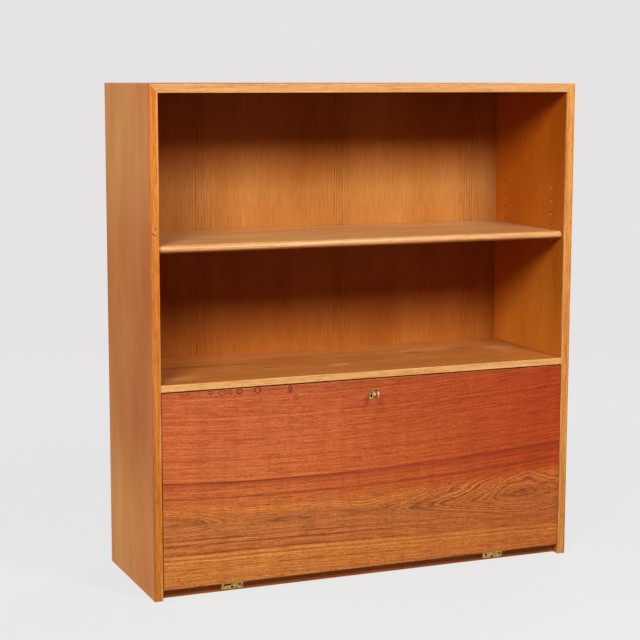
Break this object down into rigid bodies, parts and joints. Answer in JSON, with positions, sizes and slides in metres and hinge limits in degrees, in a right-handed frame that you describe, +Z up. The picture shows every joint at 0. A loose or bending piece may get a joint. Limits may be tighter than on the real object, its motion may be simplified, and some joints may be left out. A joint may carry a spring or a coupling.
{
  "type": "bookcase with desk",
  "caption": "Teak bookcase with an adjustable shelf over a fall-front desk compartment on brass hinges, with a lock and key.",
  "frame": {"origin": "centre of the underside of the bottom board, on the floor, midway between the sides and midway between the front edges and the back", "axes": "+Z up; +X to the right seen from the front; the front faces -Y"},
  "size_m": [1, 0.3757, 1.09],
  "materials": {
    "teak_veneer": "satin oiled veneer",
    "back_veneer": "satin veneer",
    "solid_teak_edge": "satin, sun-paled solid wood",
    "interior_wood": "satin oiled",
    "beech_joinery": "raw",
    "nickelled_steel": "satin nickel plate",
    "steel_screw": "plain",
    "lock_steel": "plain",
    "brass": "aged polished brass"
  },
  "bodies": {
    "case": {"left_side": "teak_veneer", "right_side": "teak_veneer", "top_panel": "teak_veneer", "bottom_panel": "teak_veneer", "fixed_shelf": "teak_veneer", "back_panel": "back_veneer", "left_lipping": "solid_teak_edge", "right_lipping": "solid_teak_edge", "top_lipping": "solid_teak_edge", "fixed_shelf_lipping": "solid_teak_edge", "left_mitre_spline": "beech_joinery", "right_mitre_spline": "beech_joinery", "desk_shelf": "interior_wood", "divider_1": "interior_wood", "divider_2": "interior_wood", "divider_3": "interior_wood", "shelf_pins": "brass", "left_case_leaf": "brass", "right_case_leaf": "brass", "left_hinge_pin": "brass", "right_hinge_pin": "brass", "case_leaf_screws": "brass", "left_guide_bracket": "nickelled_steel", "right_guide_bracket": "nickelled_steel", "strike_plate": "lock_steel"},
    "adjustable_shelf": {"adjustable_shelf": "teak_veneer", "adjustable_shelf_nose": "solid_teak_edge"},
    "flap": {"flap": "teak_veneer", "left_flap_leaf": "brass", "right_flap_leaf": "brass", "flap_leaf_screws": "brass", "left_flap_bracket": "nickelled_steel", "right_flap_bracket": "nickelled_steel", "left_stay_pin": "nickelled_steel", "right_stay_pin": "nickelled_steel", "lock_plate": "lock_steel", "lock_case": "lock_steel", "escutcheon": "brass"},
    "left_rod": {"left_stay_rod": "nickelled_steel", "left_stay_stop": "nickelled_steel"},
    "right_rod": {"right_stay_rod": "nickelled_steel", "right_stay_stop": "nickelled_steel"},
    "left_guide": {"left_stay_guide": "nickelled_steel"},
    "right_guide": {"right_stay_guide": "nickelled_steel"},
    "bolt": {"lock_bolt": "lock_steel"},
    "key": {"key": "brass"}
  },
  "joints": [
    {"name": "fall_front_hinge", "type": "hinge", "parent": "case", "child": "flap", "pos_m": [0, -0.149, 0.021], "axis": [1, 0, 0], "range_deg": [0, 90]},
    {"name": "shelf_draw_out", "type": "slide", "parent": "case", "child": "adjustable_shelf", "axis": [0, -1, 0], "range_m": [0, 0.1]},
    {"name": "left_rod_pivot", "type": "hinge", "parent": "flap", "child": "left_rod", "pos_m": [-0.465, -0.1375, 0.1535], "axis": [1, 0, 0], "range_deg": [-45, 0]},
    {"name": "right_rod_pivot", "type": "hinge", "parent": "flap", "child": "right_rod", "pos_m": [0.465, -0.1375, 0.1535], "axis": [1, 0, 0], "range_deg": [-45, 0]},
    {"name": "left_guide_swivel", "type": "hinge", "parent": "case", "child": "left_guide", "pos_m": [-0.465, -0.05016, 0.10999], "axis": [1, 0, 0], "range_deg": [0, 45]},
    {"name": "right_guide_swivel", "type": "hinge", "parent": "case", "child": "right_guide", "pos_m": [0.465, -0.05016, 0.10999], "axis": [1, 0, 0], "range_deg": [0, 45]},
    {"name": "key_turn", "type": "hinge", "parent": "flap", "child": "key", "pos_m": [0, -0.168, 0.419], "axis": [0, 1, 0], "range_deg": [0, 180]},
    {"name": "bolt_throw", "type": "slide", "parent": "flap", "child": "bolt", "axis": [0, 0, 1], "range_m": [0, 0.0083]}
  ],
  "couplings": [
    {"joint": "left_rod_pivot", "follows": "fall_front_hinge", "ratio": -0.5},
    {"joint": "right_rod_pivot", "follows": "fall_front_hinge", "ratio": -0.5},
    {"joint": "left_guide_swivel", "follows": "fall_front_hinge", "ratio": 0.5},
    {"joint": "right_guide_swivel", "follows": "fall_front_hinge", "ratio": 0.5},
    {"joint": "bolt_throw", "follows": "key_turn", "m_per_rad": 0.0025465}
  ]
}
